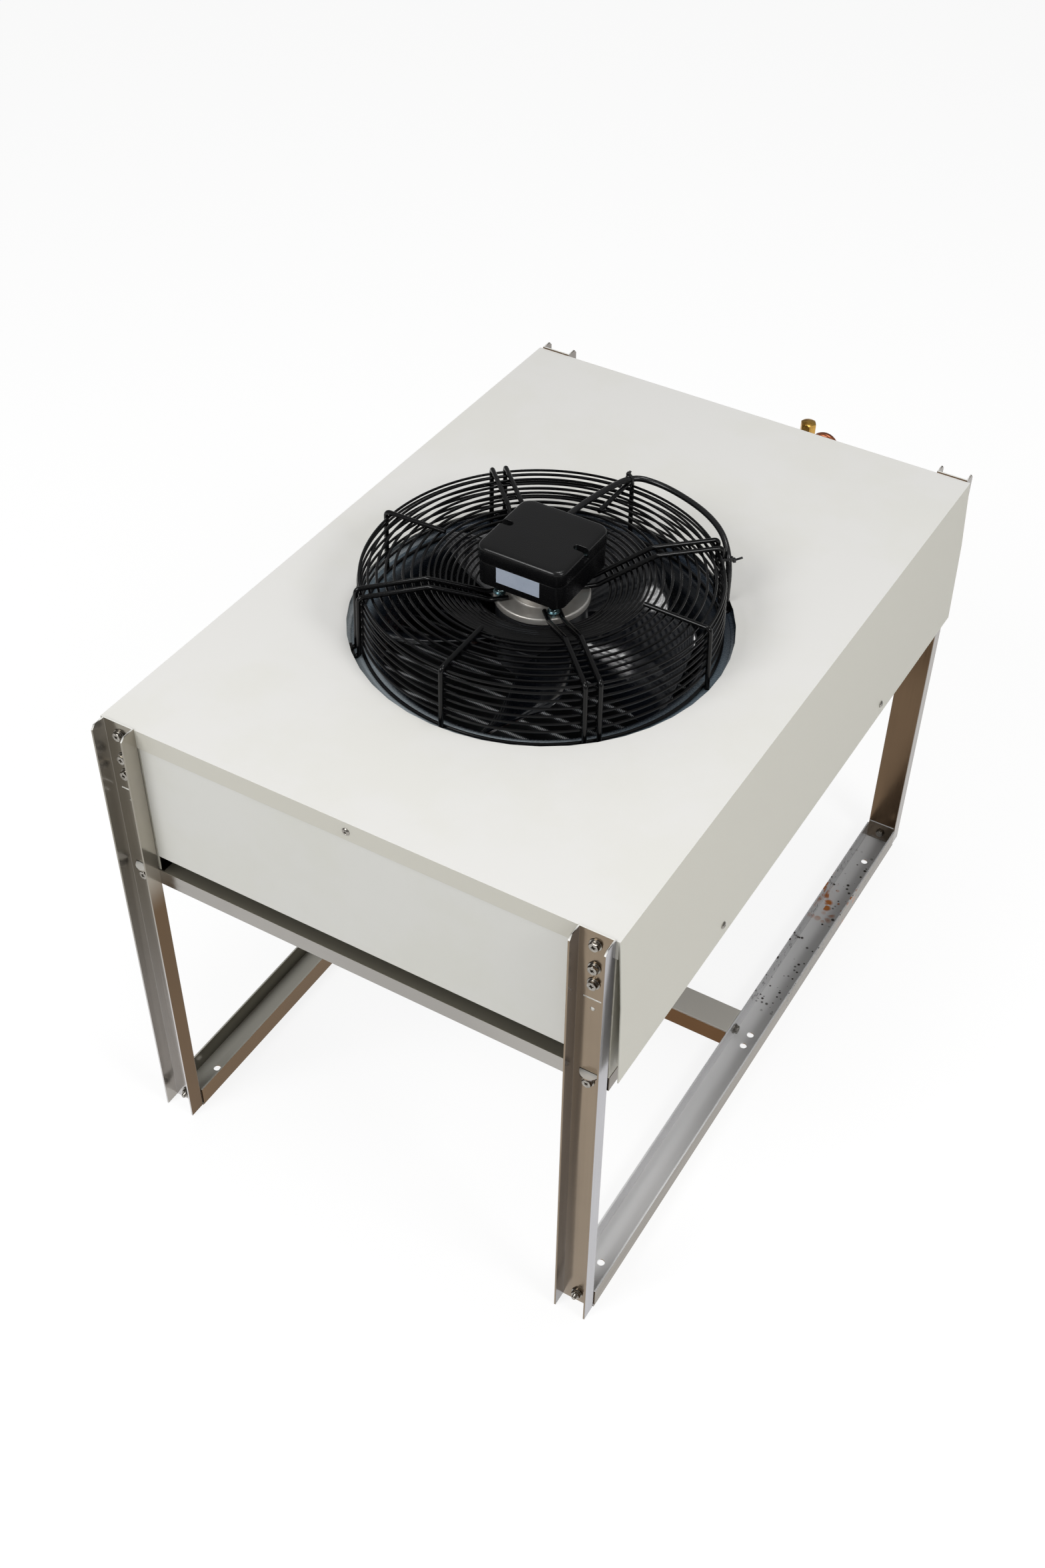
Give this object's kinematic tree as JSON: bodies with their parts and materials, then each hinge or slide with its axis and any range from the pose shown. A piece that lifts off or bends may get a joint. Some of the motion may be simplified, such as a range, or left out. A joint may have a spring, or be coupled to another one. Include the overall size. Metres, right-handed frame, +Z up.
{
  "type": "remote air-cooled condenser",
  "caption": "Flat finned condenser in a cream casing on four channel legs, with an axial fan under a wire guard and rear copper pipe ends.",
  "frame": {"origin": "on the floor, at the centre of the four anchor holes, below the centre of the casing", "axes": "+Z up; +Y along the casing towards the back end with the pipe ends; +X to the right"},
  "size_m": [0.6296, 0.9665, 0.73],
  "materials": {
    "cream_paint": "satin",
    "stainless": "brushed",
    "galvanised": "satin",
    "zinc_steel": "satin",
    "aluminium_fins": "satin",
    "copper": "satin",
    "brass": "satin",
    "valve_steel": "satin",
    "ring_paint": "gloss",
    "black_wire": "gloss",
    "motor_aluminium": "satin",
    "black_paint": "gloss",
    "core_steel": "satin",
    "cast_cage": "satin",
    "black_plastic": "satin",
    "pale_plastic": "satin",
    "label_film": "gloss",
    "black_rubber": "matte"
  },
  "bodies": {
    "casing": {"back_crossbar": "stainless", "back_panel": "cream_paint", "base_bolts": "zinc_steel", "base_cross_member": "stainless", "base_rail_left": "stainless", "base_rail_right": "stainless", "blank_label": "label_film", "cable_gland": "black_plastic", "cable_ties": "black_plastic", "coil_channel_left": "galvanised", "coil_channel_right": "galvanised", "coil_end_plates": "galvanised", "coil_tubes": "copper", "cover_screws": "zinc_steel", "fan_beam_back": "galvanised", "fan_beam_front": "galvanised", "fan_cable": "black_rubber", "fan_plate_screws": "zinc_steel", "fan_wall_ring": "ring_paint", "fin_pack": "aluminium_fins", "front_crossbar": "stainless", "front_panel": "cream_paint", "gas_header": "copper", "gas_inlet_stub": "copper", "gas_pipe": "copper", "grommets": "black_rubber", "guard_clips": "black_wire", "guard_double_arms": "black_wire", "guard_side_rings": "black_wire", "guard_single_ribs": "black_wire", "guard_slope_rings": "black_wire", "guard_top_rings": "black_wire", "junction_box": "black_plastic", "leg_back_left": "stainless", "leg_back_right": "stainless", "leg_bolts": "zinc_steel", "leg_front_left": "stainless", "leg_front_right": "stainless", "liquid_header": "copper", "liquid_pipe": "copper", "motor_bearings": "core_steel", "motor_capacitor": "black_plastic", "motor_flange": "motor_aluminium", "motor_screws": "zinc_steel", "return_bends": "copper", "service_valve_body": "brass", "side_frame_left": "galvanised", "side_frame_right": "galvanised", "stator_core": "core_steel", "stator_windings": "copper", "terminal_block": "pale_plastic", "terminal_box": "black_plastic", "terminal_box_lid": "black_plastic", "top_cover": "cream_paint"},
    "fan": {"rotor_cup": "black_paint", "rotor_cage": "cast_cage", "rotor_shaft": "core_steel", "fan_blades": "black_paint"},
    "valve_cap": {"service_valve_cap": "brass"},
    "valve_stem": {"service_valve_stem": "valve_steel"}
  },
  "joints": [
    {"name": "fan_spin", "type": "hinge", "parent": "casing", "child": "fan", "pos_m": [-0.003, -0.064, 0.6], "axis": [0, 0, 1], "continuous": true},
    {"name": "valve_cap_lift", "type": "slide", "parent": "casing", "child": "valve_cap", "axis": [0, 0, 1], "range_m": [0, 0.03]},
    {"name": "valve_stem_turn", "type": "hinge", "parent": "casing", "child": "valve_stem", "pos_m": [0.075, 0.476, 0.59], "axis": [0, 0, 1], "range_deg": [0, 1440]}
  ]
}
